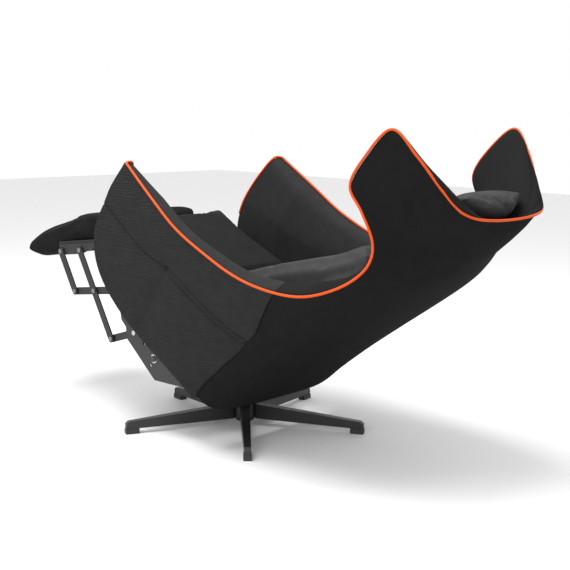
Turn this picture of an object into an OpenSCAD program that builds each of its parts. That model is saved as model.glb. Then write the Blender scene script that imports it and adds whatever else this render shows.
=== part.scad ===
// Swivel recliner with a winged shell and a linked footrest, in millimetres.
// Frame: +Z up, the chair faces -Y, +X is the sitter's left.
// It is drawn fully reclined with the footrest out: every joint is at 0 there.

/* [Placement] */
// Distance from the swivel axis back to the middle of the reclined chair
swivel_to_middle = 44.1; // [0:0.1:80]

/* [Star base] */
// Radius of the circle through the ends of the five legs
base_radius = 350; // [300:5:400]
// Direction of the first leg, anticlockwise from +X
first_leg_angle = 44.5; // [0:0.5:71.5]
// Height of a leg at its outer end
leg_end_height = 21; // [16:1:26]
// Height of a leg where it meets the hub
leg_root_height = 42; // [36:1:46]
// Width of a leg at its outer end
leg_end_width = 18; // [14:1:22]
// Width of a leg where it meets the hub
leg_root_width = 29; // [24:1:34]
// Height of a foot glide
glide_height = 14; // [10:1:16]
// Radius of the hub
hub_radius = 35; // [32:1:38]
// Radius of the vertical spindle
spindle_radius = 14; // [12:0.5:16]

/* [Swivel frame] */
// Height of the recline axis
recline_z = 200; // [190:1:215]
// Distance of the recline axis ahead of the swivel axis
recline_ahead = 150; // [140:1:160]
// Radius of the recline shaft
recline_shaft_radius = 12.5; // [10:0.5:14]
// Distance of a cheek plate's outer face from the middle
cheek_face = 86; // [70:1:120]

/* [Side plates and seat] */
// Distance of a side plate's inner face from the middle
plate_face = 212; // [210:1:214]
// Thickness of the side plates
plate_t = 5; // [4:0.5:6]
// Height of the seat's front edge
seat_front_z = 602; // [598:1:606]
// Distance of the seat's front edge ahead of the swivel axis
seat_front_ahead = 337; // [333:1:341]
// Fall of the seat towards the back
seat_slope = 27.7; // [27:0.1:28.5]
// Thickness of the seat cushion
seat_cushion_t = 120; // [110:1:124]
// Length of the seat cushion
seat_cushion_l = 425; // [400:5:430]
// Width of the seat cushion
seat_cushion_w = 468; // [440:2:472]
// Width of the back cushion
back_cushion_w = 440; // [400:2:446]
// Width of the head pillow
head_pillow_w = 276; // [240:2:280]

/* [Upholstered shell] */
// Thickness of the padded shell low down and at the wings
shell_t = 36; // [30:1:38]
// Extra thickness at the top of the arms
arm_extra_t = 24; // [10:1:26]
// Radius of the piping
piping_radius = 4; // [3:0.5:6]

/* [Footrest linkage] */
// Half width of a link bar
link_r = 11; // [9:0.5:11]
// Thickness of a link bar
link_t = 4; // [3:0.5:4]
// Radius of a link pin
pin_r = 4; // [3:0.5:5]
// Radial running clearance of a link pin
pin_gap = 0.05; // [0.02:0.01:0.1]
// Radial clearance of the hole at the rear link's free end
open_gap = 2.6; // [2.4:0.1:3]
// Width of the footrest pad
pad_w = 418; // [400:2:418]

/* [Hidden] */
$fn = 48;
bolt_hole_r = 4.5;

// Pivots of the footrest linkage as [Y, Z], seen from the side.
link_cross = [-413, 361];
link_front = [-502, 349];
bracket_rear = [-478, 475];
bracket_front = bracket_rear + link_front - link_cross;
frame_pivot = link_cross + 90 * unit(link_cross - link_front);
long_link_end = link_cross + 153 * unit(link_cross - bracket_rear);
rear_pivot = long_link_end + 110 * [cos(18), sin(18)];
recline_pivot = [-recline_ahead, recline_z];

// Layers across the chair, from the side plate inwards.
outer_layer = plate_face - 1;
inner_layer = outer_layer - link_t - 1;

// Seat: a point `back` behind and `down` below the seat's front edge.
function seat_point(back, down) =
    [-seat_front_ahead + back * cos(seat_slope) - down * sin(seat_slope),
     seat_front_z - back * sin(seat_slope) - down * cos(seat_slope)];

function unit(v) = v / norm(v);

// ---------------------------------------------------------------- shell surface
// Stations follow the shell from the arm fronts, under the seat and up the back to the head.
// Outer middle line of the shell at each station, [Y, Z].
spine = [
    [60, 150], [80, 118], [95, 94], [145, 108], [215, 155], [320, 231], [430, 310],
    [530, 381], [610, 439], [670, 485], [705, 513], [735, 540], [762, 560], [788, 582],
    [812, 603], [831, 625], [839, 643], [843, 656]
];
// Piped edge of the shell at each station, [Y, Z, half width].
edge = [
    [-155, 752, 315], [-45, 672, 330], [65, 594, 340], [178, 538, 345], [280, 497, 348],
    [375, 476, 350], [470, 470, 347], [543, 483, 338], [604, 513, 308], [640, 555, 283],
    [639, 605, 267], [603, 672, 264], [568, 728, 264], [603, 792, 262],
    [680, 859, 266], [735, 803, 246], [778, 735, 214], [806, 692, 190]
];
// Half width low down, squareness of the lower corner, forward bulge of the edge of the arm.
section = [
    [292, 8, 232], [295, 8, 140], [294, 7, 65], [287, 5, 15], [275, 3.5, 0],
    [265, 2.8, 0], [255, 2.5, 0], [250, 2.3, 0], [240, 2.2, 0], [230, 2.2, 0],
    [220, 2.2, 0], [215, 2.3, 0], [205, 2.4, 0], [200, 2.5, 0],
    [195, 2.5, 0], [190, 2.5, 0], [180, 2.5, 0], [170, 2.4, 0]
];
last_station = len(spine) - 1;
arm_end = 6.5;
bucket_start = 2;
side_start = 0.4;
wing_taper = 0.85;

// Smooth curve through a list of points: t counts the points.
function through(points, t) =
    let (
        n = len(points) - 1,
        i = max(0, min(floor(t), n - 1)),
        f = t - i,
        a = points[max(i - 1, 0)],
        b = points[i],
        c = points[i + 1],
        d = points[min(i + 2, n)]
    )
    b * (2 * f * f * f - 3 * f * f + 1) + (c - a) / 2 * (f * f * f - 2 * f * f + f)
    + c * (3 * f * f - 2 * f * f * f) + (d - b) / 2 * (f * f * f - f * f);

// Outer surface: u counts the stations, v runs from -1 to 1 across the shell.
// Each section is a quarter superellipse; side_start is the middle of its corner.
function shell_point(u, v) =
    let (
        c = through(spine, u),
        e = through(edge, u),
        s = through(section, u),
        n = s[1],
        corner = pow(2, -1 / n),
        on_side = abs(v) > side_start,
        f = on_side ? (min(abs(v), 1) - side_start) / (1 - side_start) : abs(v) / side_start,
        up = on_side ? 1 - corner + corner * f : 1 - pow(1 - pow(corner * f, n), 1 / n),
        across = on_side ? pow(1 - pow(1 - up, n), 1 / n) : corner * f,
        side = v < 0 ? -1 : 1
    )
    [
        side * (s[0] * across + (e[2] - s[0]) * pow(up, 1.5)),
        c[0] + (e[0] - c[0]) * up - s[2] * sin(180 * min(1, pow(up, 1.04))),
        c[1] + (e[1] - c[1]) * up
    ];
function along_shell(u, v) =
    unit(shell_point(min(u + 0.05, last_station), v) - shell_point(max(u - 0.05, 0), v));
function across_shell(u, v) =
    unit(shell_point(u, min(v + 0.02, 1)) - shell_point(u, max(v - 0.02, -1)));
function inward(u, v) = unit(cross(across_shell(u, v), along_shell(u, v)));
function clamp01(x) = max(0, min(1, x));
// Padding: thicker at the top of the arms, thinner at their tips, the wings' edges and the head's edge.
function shell_depth(u, v) =
    (shell_t + arm_extra_t * clamp01((abs(v) - 0.6) / 0.25) * clamp01((8 - u) / 3))
    * (1 - wing_taper * clamp01((abs(v) - 0.4) / 0.6) * clamp01((u - 7) / 3))
    * clamp01((u + 2) / 3) * clamp01((last_station + 0.7 - u) / 4);
function lining_point(u, v) = shell_point(u, v) + shell_depth(u, v) * inward(u, v);

function steps(a, b, n) = [for (i = [0:n]) a + (b - a) * i / n];

// Closed padded patch of the shell between two stations and two places across.
module shell_patch(u0, u1, nu, v0, v1, nv) {
    us = steps(u0, u1, nu);
    vs = steps(v0, v1, nv);
    w = nv + 1;
    inner = (nu + 1) * w;
    points = concat(
        [for (u = us) for (v = vs) shell_point(u, v)],
        [for (u = us) for (v = vs) lining_point(u, v)]
    );
    skin = [for (i = [0:nu - 1]) for (j = [0:nv - 1]) let (k = i * w + j)
        each [[k, k + w, k + w + 1], [k, k + w + 1, k + 1]]];
    lining = [for (f = skin) [f[2] + inner, f[1] + inner, f[0] + inner]];
    rim = concat(
        [for (i = [0:nu - 1]) i * w],
        [for (j = [0:nv - 1]) nu * w + j],
        [for (i = [nu:-1:1]) i * w + nv],
        [for (j = [nv:-1:1]) j]
    );
    m = len(rim);
    walls = [for (i = [0:m - 1]) let (a = rim[i], b = rim[(i + 1) % m])
        each [[a, inner + b, b], [a, inner + a, inner + b]]];
    polyhedron(points = points, faces = [for (f = concat(skin, lining, walls)) [f[2], f[1], f[0]]]);
}

// ---------------------------------------------------------------- drawing helpers
module in_chair() translate([0, -swivel_to_middle, 0]) children();

// A flat shape drawn as (Y, Z), standing between two distances across the chair.
module across_chair(x0, x1) {
    translate([x0, 0, 0]) rotate([90, 0, 90]) linear_extrude(x1 - x0) children();
}

module left_and_right() {
    children();
    mirror([1, 0, 0]) children();
}

module pin(at, r, x0, x1) {
    translate([x0, at[0], at[1]]) rotate([0, 90, 0]) cylinder(r = r, h = x1 - x0);
}

// Outline of a bar with round ends.
module bar(a, b, r) translate(a) rotate(atan2(b[1] - a[1], b[0] - a[0])) hull() {
    circle(r);
    translate([norm(b - a), 0]) circle(r);
}

// Outline of a rectangle with round corners.
module round_box(l, h, r) {
    translate([r, 0]) square([l - 2 * r, h]);
    translate([0, r]) square([l, h - 2 * r]);
    for (x = [r, l - r]) for (y = [r, h - r]) translate([x, y]) circle(r);
}

// A pin from x0 to x1 with a flat head at either end; a head of no height is left off.
module headed_pin(at, head0, x0, x1, head1) {
    head_r = pin_r + 3;
    pin(at, pin_r, x0, x1);
    if (head0 > 0) pin(at, head_r, x0 - head0, x0);
    if (head1 > 0) pin(at, head_r, x1, x1 + head1);
}

// ---------------------------------------------------------------- star base
hub_bottom = 12;
hub_foot_h = 12;
hub_top = 64;
hub_floor = 6;
sleeve_top = 138;
leg_root_bottom = 20;
joint_gap = 0.6;
bearing_gap = 0.05;
glide_l = 38;
glide_w = 22;
circlip_h = 2;
washer_h = 2.8;

module base_hub() color("#1c1c1e") in_chair() difference() {
    union() {
        translate([0, 0, hub_bottom]) cylinder(r1 = hub_radius - 9, r2 = hub_radius, h = hub_foot_h);
        translate([0, 0, hub_bottom + hub_foot_h])
            cylinder(r = hub_radius, h = hub_top - hub_bottom - hub_foot_h);
    }
    translate([0, 0, hub_bottom + hub_floor]) cylinder(r = spindle_radius, h = hub_top);
}

module leg_outline() {
    polygon([
        [hub_radius + 0.5, leg_root_bottom], [hub_radius + 0.5, leg_root_bottom + leg_root_height],
        [base_radius - 8, glide_height + leg_end_height], [base_radius, glide_height + leg_end_height - 7],
        [base_radius, glide_height + 0.2]
    ]);
}

module leg_plan() {
    polygon([
        [0, -leg_root_width / 2], [base_radius + 1, -leg_end_width / 2],
        [base_radius + 1, leg_end_width / 2], [0, leg_root_width / 2]
    ]);
}

module base_leg(i) color("#232325") in_chair() rotate([0, 0, first_leg_angle + 72 * i]) difference() {
    intersection() {
        translate([0, 50, 0]) rotate([90, 0, 0]) linear_extrude(100) leg_outline();
        linear_extrude(100) leg_plan();
    }
    cylinder(r = hub_radius + joint_gap, h = 100);
}
module base_leg_1() base_leg(0);
module base_leg_2() base_leg(1);
module base_leg_3() base_leg(2);
module base_leg_4() base_leg(3);
module base_leg_5() base_leg(4);

module foot_glides() color("#1a1a1a") in_chair() for (i = [0:4]) rotate([0, 0, first_leg_angle + 72 * i])
    translate([base_radius + 1 - glide_l, -glide_w / 2, 0]) cube([glide_l, glide_w, glide_height]);

module leg_bolts() color("#3a3a3c") in_chair() for (i = [0:4]) rotate([0, 0, first_leg_angle + 36 + 72 * i])
    translate([hub_radius - 8, 0, hub_top + 0.1]) cylinder(r = 4, h = 3);

module spindle() color("#8b8d90") in_chair()
    translate([0, 0, hub_bottom + hub_floor])
        cylinder(r = spindle_radius, h = sleeve_top + 12 - hub_bottom - hub_floor);

module spindle_circlip() color("#55585c") in_chair() translate([0, 0, sleeve_top + 7]) difference() {
    cylinder(r = spindle_radius + 4, h = circlip_h);
    translate([0, 0, -1]) cylinder(r = spindle_radius, h = circlip_h + 2);
}

// ---------------------------------------------------------------- swivel frame
sleeve_radius = spindle_radius + 8;
frame_sheet_t = 6;
bush_wall = 4;

module thrust_washer() color("#9a9ca0") in_chair() translate([0, 0, hub_top + 0.1]) difference() {
    cylinder(r = sleeve_radius, h = washer_h);
    translate([0, 0, -1]) cylinder(r = spindle_radius + 0.3, h = washer_h + 2);
}

module swivel_sleeve() color("#1c1c1e") in_chair() translate([0, 0, hub_top + 3.2]) difference() {
    cylinder(r = sleeve_radius, h = sleeve_top - hub_top - 3.2);
    translate([0, 0, -1]) cylinder(r = spindle_radius + bearing_gap, h = sleeve_top);
}

module swivel_plate() color("#232325") in_chair() difference() {
    translate([-cheek_face - 4, -recline_ahead - 36, sleeve_top])
        cube([2 * cheek_face + 8, recline_ahead + 76, frame_sheet_t]);
    translate([0, 0, sleeve_top - 1]) cylinder(r = spindle_radius + bearing_gap, h = frame_sheet_t + 2);
    for (x = [-60, 60]) for (y = [-85, 15]) translate([x, y, sleeve_top - 1])
        cylinder(r = bolt_hole_r, h = frame_sheet_t + 2);
}

module recline_cheek() color("#232325") in_chair()
    across_chair(cheek_face - frame_sheet_t, cheek_face) difference() {
    union() {
        translate(recline_pivot) circle(26);
        polygon([
            [-recline_ahead - 34, sleeve_top + frame_sheet_t],
            [-recline_ahead + 74, sleeve_top + frame_sheet_t],
            [-recline_ahead + 22, recline_z + 14], [-recline_ahead - 22, recline_z + 14]
        ]);
    }
    translate(recline_pivot) circle(recline_shaft_radius + bush_wall);
}
module recline_cheek_left() recline_cheek();
module recline_cheek_right() mirror([1, 0, 0]) recline_cheek();

module recline_bushes() color("#b08a4a") in_chair() left_and_right() difference() {
    union() {
        pin(recline_pivot, recline_shaft_radius + bush_wall, cheek_face - 8, cheek_face);
        pin(recline_pivot, recline_shaft_radius + bush_wall + 3, cheek_face, cheek_face + 3);
    }
    pin(recline_pivot, recline_shaft_radius + bearing_gap, cheek_face - 9, cheek_face + 4);
}

// ---------------------------------------------------------------- seat frame
board_t = 12;
plate_out = plate_face + plate_t;
footrest_shaft_r = 9;
tube_r = 12.5;
tube_bore_r = 10.5;
board_w = 464;

module side_plate_outline() difference() {
    union() {
        translate(frame_pivot) circle(20);
        polygon([
            seat_point(38, seat_cushion_t + board_t + 1), [-335, 385], [-300, 352],
            [-287, 293], [-268, 275], [-262, 240], [-146, 139], [-28, 139], [15, 190],
            seat_point(380, seat_cushion_t + board_t + 1)
        ]);
    }
    translate(frame_pivot) circle(footrest_shaft_r + bearing_gap);
    translate(recline_pivot) circle(recline_shaft_radius);
    for (at = [[-164, 178], [-190, 238], [-60, 165]]) translate(at) circle(bolt_hole_r);
    translate(rear_pivot) circle(pin_r);
}
module side_plate_left() color("#161617") in_chair() across_chair(plate_face, plate_out)
    side_plate_outline();
module side_plate_right() color("#161617") mirror([1, 0, 0]) in_chair() across_chair(plate_face, plate_out)
    side_plate_outline();

module recline_shaft() color("#77797d") in_chair()
    pin(recline_pivot, recline_shaft_radius, -plate_out, plate_out);

module shaft_screws() color("#3a3a3c") in_chair() left_and_right()
    pin(recline_pivot, 9, plate_out, plate_out + 4);

module cross_tube(at) difference() {
    pin(at, tube_r, -plate_face, plate_face);
    pin(at, tube_bore_r, -plate_face - 1, plate_face + 1);
}
module front_cross_tube() color("#1c1c1e") in_chair() cross_tube([-262, 340]);
module rear_cross_tube() color("#1c1c1e") in_chair() cross_tube([10, 222]);

module rear_link_pins() color("#8b8d90") in_chair() left_and_right()
    headed_pin(rear_pivot, 2, inner_layer - link_t - 0.4, plate_out, 2.5);

module seat_board() color("#141414") in_chair() across_chair(-board_w / 2, board_w / 2)
    translate(seat_point(20, seat_cushion_t + 0.5 + board_t)) rotate(-seat_slope)
        square([seat_cushion_l - 40, board_t]);

module seat_cushion() color("#39393b") in_chair() across_chair(-seat_cushion_w / 2, seat_cushion_w / 2)
    translate(seat_point(0, seat_cushion_t)) rotate(-seat_slope)
        round_box(seat_cushion_l, seat_cushion_t, 28);

// Face of the inner back from the seat up to the head, as [Y, Z].
back_face = [
    [20, 428], [120, 449], [229, 482], [350, 513], [470, 545], [575, 588]
];
// Head pillow: its narrow rear, against the lining, and its broad face, as [Y, Z].
pillow_rear = [[648, 598], [700, 588], [812, 672], [822, 694], [790, 718], [735, 714], [652, 640]];
pillow_face = [[650, 634], [700, 662], [745, 698], [790, 714], [772, 714], [725, 702], [660, 652]];
// How much narrower the rear is, so that it sits down between the wings.
pillow_rear_inset = 176;
function smooth(points, per) =
    [for (i = [0:(len(points) - 1) * per]) through(points, i / per)];

module back_cushion() color("#39393b") in_chair() across_chair(-back_cushion_w / 2, back_cushion_w / 2)
    polygon(concat(
        smooth(back_face, 6),
        [[590, 560], [570, 500], [400, 420], [230, 385], [100, 345]]
    ));

module back_support() color("#6d5a41") in_chair() across_chair(-176, 176)
    polygon([[108, 342], [235, 380], [405, 417], [548, 481], [554, 470], [410, 402], [238, 367], [110, 328]]);

module head_pillow() color("#39393b") in_chair() hull() {
    rear_w = head_pillow_w - pillow_rear_inset;
    across_chair(-rear_w / 2, rear_w / 2) polygon(pillow_rear);
    across_chair(-head_pillow_w / 2, head_pillow_w / 2) polygon(pillow_face);
}

// ---------------------------------------------------------------- shell pieces
module arm_left() color("#2b2b2c") in_chair() shell_patch(0, arm_end, 13, side_start, 1, 8);
module arm_right() color("#2b2b2c") mirror([1, 0, 0]) in_chair()
    shell_patch(0, arm_end, 13, side_start, 1, 8);
module seat_bucket() color("#19191a") in_chair()
    shell_patch(bucket_start, arm_end, 9, -side_start, side_start, 8);
module back_panel() color("#19191a") in_chair()
    shell_patch(arm_end, last_station, 21, -side_start, side_start, 8);
module wing_left() color("#232324") in_chair()
    shell_patch(arm_end, last_station, 21, side_start, 1, 8);
module wing_right() color("#232324") mirror([1, 0, 0]) in_chair()
    shell_patch(arm_end, last_station, 21, side_start, 1, 8);

// The piping lies on the rim: up an arm's inner front edge, over its tip, along the side and over
// the head, then down the other side in the same way.
function front_route(side) = [for (v = steps(0.62, 0.97, 6))
    lining_point(0, side * v) - piping_radius * 1.1 * along_shell(0, side * v)];
function tip_route(side) = [for (f = [0.75, 0.5, 0.25])
    shell_point(0, side) + f * (lining_point(0, side) - shell_point(0, side))
    + piping_radius * 1.1 * (side * across_shell(0, side) - along_shell(0, side))];
function side_route(side) = [for (u = steps(0.1, last_station - 0.2, 40))
    shell_point(u, side) + piping_radius * 1.1 * side * across_shell(u, side)];
function head_route() = [for (v = steps(0.9, -0.9, 12))
    shell_point(last_station, v) + piping_radius * 1.1 * along_shell(last_station, v)];
function backwards(list) = [for (i = [len(list) - 1:-1:0]) list[i]];

piping_route = concat(
    front_route(1), tip_route(1), side_route(1), head_route(),
    backwards(side_route(-1)), backwards(tip_route(-1)), backwards(front_route(-1))
);
piping_sides = 8;

// A tube with one ring at each point of a route.
module tube_along(route, r, sides) {
    n = len(route);
    heading = [for (i = [0:n - 1]) unit(route[min(i + 1, n - 1)] - route[max(i - 1, 0)])];
    first = unit(cross(heading[0], [1, 0, 0.3]));
    // Each ring's first direction is the last one's, laid square to the route again.
    carried = [for (i = 0, d = first; i < n; i = i + 1,
        d = i < n ? unit(d - (d * heading[i]) * heading[i]) : d) d];
    points = [for (i = [0:n - 1]) let (d = unit(carried[i] - (carried[i] * heading[i]) * heading[i]),
        e = cross(heading[i], d)) for (k = [0:sides - 1])
        route[i] + r * (cos(360 * k / sides) * d + sin(360 * k / sides) * e)];
    wall = [for (i = [0:n - 2]) for (k = [0:sides - 1])
        let (a = i * sides + k, b = i * sides + (k + 1) % sides)
        each [[a, a + sides, b + sides], [a, b + sides, b]]];
    start = [[for (k = [0:sides - 1]) k]];
    finish = [[for (k = [sides - 1:-1:0]) (n - 1) * sides + k]];
    polyhedron(points = points, faces = concat(wall, start, finish));
}
module edge_piping() color("#e8632a") in_chair() tube_along(piping_route, piping_radius, piping_sides);

// ---------------------------------------------------------------- footrest linkage
outer_end = outer_layer + link_t;
inner_end = inner_layer + link_t;

module footrest_shaft() color("#77797d") in_chair()
    pin(frame_pivot, footrest_shaft_r, -plate_out - 3, plate_out + 3);

module drive_link() color("#161617") in_chair() across_chair(inner_layer, inner_end) difference() {
    bar(frame_pivot, link_front, link_r);
    translate(frame_pivot) circle(footrest_shaft_r);
    translate(link_cross) circle(pin_r);
    translate(link_front) circle(pin_r);
}
module drive_link_left() drive_link();
module drive_link_right() mirror([1, 0, 0]) drive_link();

module drive_link_pins() color("#8b8d90") in_chair() left_and_right() {
    headed_pin(link_cross, 2, inner_layer, outer_end + 0.3, 2.5);
    headed_pin(link_front, 2, inner_layer, outer_end + 0.3, 2.5);
}

module long_link() color("#161617") in_chair() across_chair(outer_layer, outer_end) difference() {
    bar(bracket_rear, long_link_end, link_r);
    translate(bracket_rear) circle(pin_r);
    translate(long_link_end) circle(pin_r);
    translate(link_cross) circle(pin_r + pin_gap);
}
module long_link_left() long_link();
module long_link_right() mirror([1, 0, 0]) long_link();

module long_link_pins() color("#8b8d90") in_chair() left_and_right() {
    headed_pin(bracket_rear, 2, inner_layer - 0.4, outer_end, 2.5);
    headed_pin(long_link_end, 0, inner_layer - 0.4, outer_end, 2.5);
    pin(long_link_end, pin_r + open_gap + 2.4, inner_layer - 2.4, inner_layer - 0.4);
}

module front_link() color("#161617") in_chair() across_chair(outer_layer, outer_end) difference() {
    bar(bracket_front, link_front, link_r);
    translate(bracket_front) circle(pin_r);
    translate(link_front) circle(pin_r + pin_gap);
}
module front_link_left() front_link();
module front_link_right() mirror([1, 0, 0]) front_link();

module front_link_pins() color("#8b8d90") in_chair() left_and_right()
    headed_pin(bracket_front, 2, inner_layer - 0.4, outer_end, 2.5);

module rear_link() color("#161617") in_chair() across_chair(inner_layer, inner_end) difference() {
    bar(long_link_end, rear_pivot, link_r);
    translate(rear_pivot) circle(pin_r + pin_gap);
    translate(long_link_end) circle(pin_r + open_gap);
}
module rear_link_left() rear_link();
module rear_link_right() mirror([1, 0, 0]) rear_link();

// ---------------------------------------------------------------- footrest
bracket_up = [unit(bracket_front - bracket_rear)[1], -unit(bracket_front - bracket_rear)[0]];
screw_turn = atan2(bracket_up[0], -bracket_up[1]);

// Point in the bracket's own lines: `ahead` of the rear pivot, `above` the line of pivots.
function bracket_point(ahead, above) =
    bracket_rear + ahead * unit(bracket_front - bracket_rear)
    + above * bracket_up;

board_low = 20;
foot_board_t = 9;

module footrest_bracket() color("#161617") in_chair() {
    across_chair(inner_layer, inner_end) difference() {
        union() {
            bar(bracket_rear, bracket_front, link_r);
            polygon([
                bracket_point(-4, -link_r), bracket_point(94, -link_r), bracket_point(100, board_low),
                bracket_point(-72, board_low), bracket_point(-72, 8)
            ]);
        }
        translate(bracket_rear) circle(pin_r + pin_gap);
        translate(bracket_front) circle(pin_r + 0.3);
    }
    across_chair(inner_layer - 22, inner_layer)
        polygon([
            bracket_point(-72, board_low - 3), bracket_point(100, board_low - 3),
            bracket_point(100, board_low), bracket_point(-72, board_low)
        ]);
}
module footrest_bracket_left() footrest_bracket();
module footrest_bracket_right() mirror([1, 0, 0]) footrest_bracket();

module footrest_board() color("#141414") in_chair() across_chair(-204, 204)
    polygon([
        bracket_point(-74, board_low + 0.1), bracket_point(106, board_low + 0.1),
        bracket_point(106, board_low + foot_board_t), bracket_point(-74, board_low + foot_board_t)
    ]);

module footrest_screws() color("#8b8d90") in_chair() left_and_right() for (ahead = [-50, 80])
    let (at = bracket_point(ahead, board_low - 3)) translate([inner_layer - 12, at[0], at[1]])
        rotate([screw_turn, 0, 0]) cylinder(r = 5, h = 2.5);

// Side outline of the footrest pad, from the rear underside round the nose, as [Y, Z].
pad_top = [
    [-407, 520], [-406, 556], [-421, 580], [-503, 570], [-589, 542], [-683, 508], [-741, 475],
    [-760, 452], [-747, 440], [-703, 441], [-658, 448], [-607, 461]
];
module footrest_pad() color("#2b2b2c") in_chair() across_chair(-pad_w / 2, pad_w / 2)
    polygon(concat(
        [bracket_point(-70, board_low + foot_board_t + 0.2)],
        smooth(pad_top, 5),
        [bracket_point(112, board_low - 18), bracket_point(112, board_low + foot_board_t + 0.2)]
    ));

base_hub();
base_leg_1();
base_leg_2();
base_leg_3();
base_leg_4();
base_leg_5();
foot_glides();
leg_bolts();
spindle();
spindle_circlip();
thrust_washer();
swivel_sleeve();
swivel_plate();
recline_cheek_left();
recline_cheek_right();
recline_bushes();
side_plate_left();
side_plate_right();
recline_shaft();
shaft_screws();
front_cross_tube();
rear_cross_tube();
rear_link_pins();
seat_board();
seat_cushion();
back_support();
back_cushion();
head_pillow();
arm_left();
arm_right();
seat_bucket();
back_panel();
wing_left();
wing_right();
edge_piping();
footrest_shaft();
drive_link_left();
drive_link_right();
drive_link_pins();
long_link_left();
long_link_right();
long_link_pins();
front_link_left();
front_link_right();
front_link_pins();
rear_link_left();
rear_link_right();
footrest_bracket_left();
footrest_bracket_right();
footrest_board();
footrest_screws();
footrest_pad();
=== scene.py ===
import math

import bpy
import numpy as np
from mathutils import Matrix, Vector


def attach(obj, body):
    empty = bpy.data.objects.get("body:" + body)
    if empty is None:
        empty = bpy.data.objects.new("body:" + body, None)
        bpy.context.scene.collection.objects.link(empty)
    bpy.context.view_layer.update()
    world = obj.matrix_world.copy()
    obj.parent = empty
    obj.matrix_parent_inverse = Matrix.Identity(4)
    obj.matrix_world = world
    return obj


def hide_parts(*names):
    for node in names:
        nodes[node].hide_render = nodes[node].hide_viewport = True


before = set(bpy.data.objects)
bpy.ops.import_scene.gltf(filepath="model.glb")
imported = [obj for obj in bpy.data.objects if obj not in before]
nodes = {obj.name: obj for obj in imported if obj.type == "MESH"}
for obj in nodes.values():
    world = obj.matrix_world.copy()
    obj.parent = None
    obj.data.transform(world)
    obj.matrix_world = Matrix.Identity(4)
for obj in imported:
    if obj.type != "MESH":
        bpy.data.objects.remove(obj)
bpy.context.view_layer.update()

# ---------------------------------------------------------------------------
# Star base. Five tapered steel tubes welded to a hub, with plastic glides.
# The steel is shot-blasted and powder coated black; the hub bolts are plated.

POWDER_BLACK = (0.006, 0.006, 0.0065, 1)
POWDER_SHEEN = (0.010, 0.010, 0.011, 1)


def new_finish(name):
    """A material with its shader, and the two lists that its nodes and links go in."""
    material = bpy.data.materials.new(name)
    material.use_nodes = True
    tree = material.node_tree
    return material, tree.nodes, tree.links, tree.nodes["Principled BSDF"]


def grain_group(name, scale, detail, low, high):
    """A node group that gives a mask and a height from fine noise in the piece's own metres."""
    group = bpy.data.node_groups.new(name, "ShaderNodeTree")
    group.interface.new_socket("Vector", in_out="INPUT", socket_type="NodeSocketVector")
    group.interface.new_socket("Mask", in_out="OUTPUT", socket_type="NodeSocketFloat")
    group.interface.new_socket("Height", in_out="OUTPUT", socket_type="NodeSocketFloat")
    start = group.nodes.new("NodeGroupInput")
    end = group.nodes.new("NodeGroupOutput")
    noise = group.nodes.new("ShaderNodeTexNoise")
    noise.inputs["Scale"].default_value = scale
    noise.inputs["Detail"].default_value = detail
    spread = group.nodes.new("ShaderNodeMapRange")
    spread.inputs["From Min"].default_value = low
    spread.inputs["From Max"].default_value = high
    group.links.new(start.outputs["Vector"], noise.inputs["Vector"])
    group.links.new(noise.outputs["Fac"], spread.inputs["Value"])
    group.links.new(spread.outputs["Result"], end.inputs["Mask"])
    group.links.new(noise.outputs["Fac"], end.inputs["Height"])
    return group


def add_grain(material_nodes, links, group):
    """Puts a grain group in a material, fed by the piece's own coordinates."""
    place = material_nodes.new("ShaderNodeTexCoord")
    grain = material_nodes.new("ShaderNodeGroup")
    grain.node_tree = group
    links.new(place.outputs["Object"], grain.inputs["Vector"])
    return place, grain


def two_tones(material_nodes, links, mask, dark, light, target):
    """Mixes two colours by a mask and sends the result to a socket."""
    mix = material_nodes.new("ShaderNodeMix")
    mix.data_type = "RGBA"
    mix.inputs["A"].default_value = dark
    mix.inputs["B"].default_value = light
    links.new(mask, mix.inputs["Factor"])
    links.new(mix.outputs["Result"], target)
    return mix


def add_bump(material_nodes, links, height, shader, strength, distance):
    """A bump node from a height to the shader."""
    bump = material_nodes.new("ShaderNodeBump")
    bump.inputs["Strength"].default_value = strength
    bump.inputs["Distance"].default_value = distance
    links.new(height, bump.inputs["Height"])
    links.new(bump.outputs["Normal"], shader.inputs["Normal"])
    return bump


orange_peel = grain_group("orange_peel", 420, 2, 0.35, 0.65)


def speckled_finish(name, dark, light, roughness, metallic, group, strength, distance):
    """A two-tone finish with fine grain: powder coat, plating, moulded plastic."""
    material, parts, links, shader = new_finish(name)
    shader.inputs["Roughness"].default_value = roughness
    shader.inputs["Metallic"].default_value = metallic
    _, grain = add_grain(parts, links, group)
    two_tones(parts, links, grain.outputs["Mask"], dark, light, shader.inputs["Base Color"])
    add_bump(parts, links, grain.outputs["Height"], shader, strength, distance)
    return material


def paint(material, *names):
    """Gives CAD nodes their finish."""
    for name in names:
        for slot in nodes[name].material_slots:
            slot.material = material


powder_coat = speckled_finish(
    "powder_coat", POWDER_BLACK, POWDER_SHEEN, 0.42, 0.0, orange_peel, 0.25, 0.0004)
plated_steel = speckled_finish(
    "plated_steel", (0.40, 0.41, 0.42, 1), (0.56, 0.56, 0.57, 1), 0.34, 1.0, orange_peel, 0.10, 0.0002)
black_oxide = speckled_finish(
    "black_oxide", (0.035, 0.035, 0.038, 1), (0.06, 0.06, 0.064, 1), 0.38, 0.6, orange_peel, 0.12, 0.0002)
glide_plastic = speckled_finish(
    "glide_plastic", (0.012, 0.012, 0.013, 1), (0.020, 0.020, 0.021, 1), 0.62, 0.0, orange_peel, 0.30, 0.0003)
paint(powder_coat, "base_hub", *[f"base_leg_{n}" for n in range(1, 6)])
paint(glide_plastic, "foot_glides")
paint(black_oxide, "leg_bolts")
paint(plated_steel, "spindle", "spindle_circlip")

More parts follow.
